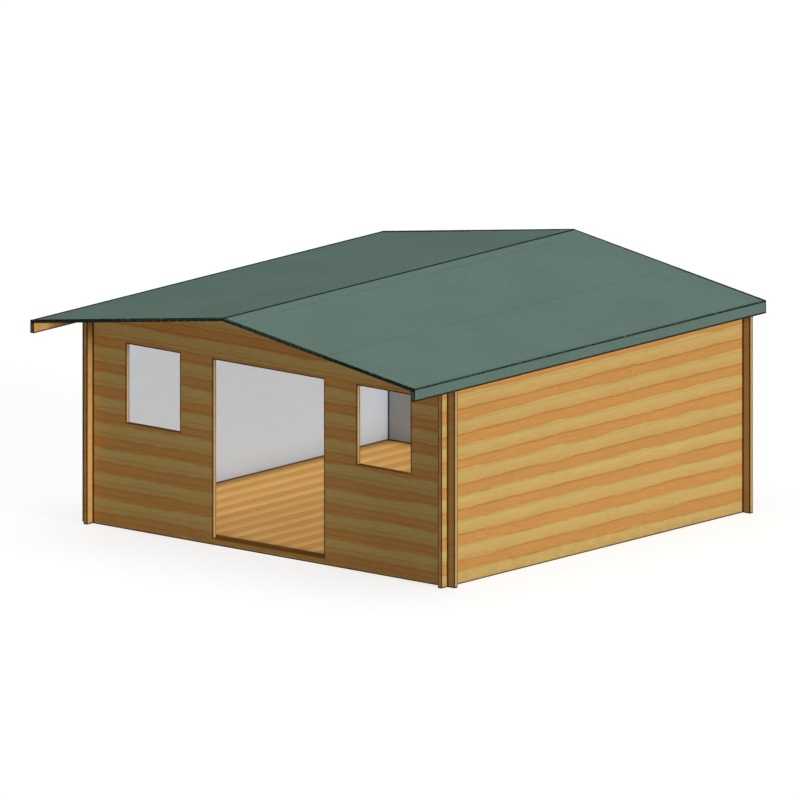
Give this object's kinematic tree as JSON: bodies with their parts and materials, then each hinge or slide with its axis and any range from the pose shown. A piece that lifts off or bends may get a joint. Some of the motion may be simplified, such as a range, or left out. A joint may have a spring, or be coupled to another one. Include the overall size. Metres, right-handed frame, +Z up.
{
  "type": "log cabin",
  "caption": "Log cabin with a felted apex roof, walls of tongued logs that interlock at the corners, an open doorway between open windows, and a boarded floor.",
  "frame": {"origin": "on the ground, under the middle of the roof", "axes": "+X to the right as seen from the front, +Y from the doorway to the back wall, +Z up"},
  "size_m": [4.896, 5.307, 2.4677],
  "materials": {
    "log_wood": "oiled spruce",
    "roof_boards": "planed spruce",
    "eaves_wood": "oiled spruce",
    "purlin_wood": "planed spruce",
    "floor_wood": "oiled spruce",
    "joist_wood": "pressure treated",
    "roof_felt": "green mineral felt"
  },
  "bodies": {
    "root": {"back_gable_lower_log": "log_wood", "back_gable_middle_log": "log_wood", "back_gable_top_log": "log_wood", "back_sill_log": "log_wood", "back_wall_even_courses": "log_wood", "back_wall_odd_courses": "log_wood", "floor_boards": "floor_wood", "floor_joists": "joist_wood", "front_gable_lower_log": "log_wood", "front_gable_middle_log": "log_wood", "front_gable_top_log": "log_wood", "front_left_even_courses": "log_wood", "front_left_odd_courses": "log_wood", "front_lintel_log": "log_wood", "front_right_even_courses": "log_wood", "front_right_odd_courses": "log_wood", "front_sill_log": "log_wood", "front_upper_log": "log_wood", "left_eaves_board": "eaves_wood", "left_purlin": "purlin_wood", "left_roof_boards": "roof_boards", "left_roof_felt": "roof_felt", "left_wall_even_courses": "log_wood", "left_wall_odd_courses": "log_wood", "left_wall_plate": "log_wood", "ridge_purlin": "purlin_wood", "right_eaves_board": "eaves_wood", "right_purlin": "purlin_wood", "right_roof_boards": "roof_boards", "right_roof_felt": "roof_felt", "right_wall_even_courses": "log_wood", "right_wall_odd_courses": "log_wood", "right_wall_plate": "log_wood"}
  },
  "joints": []
}
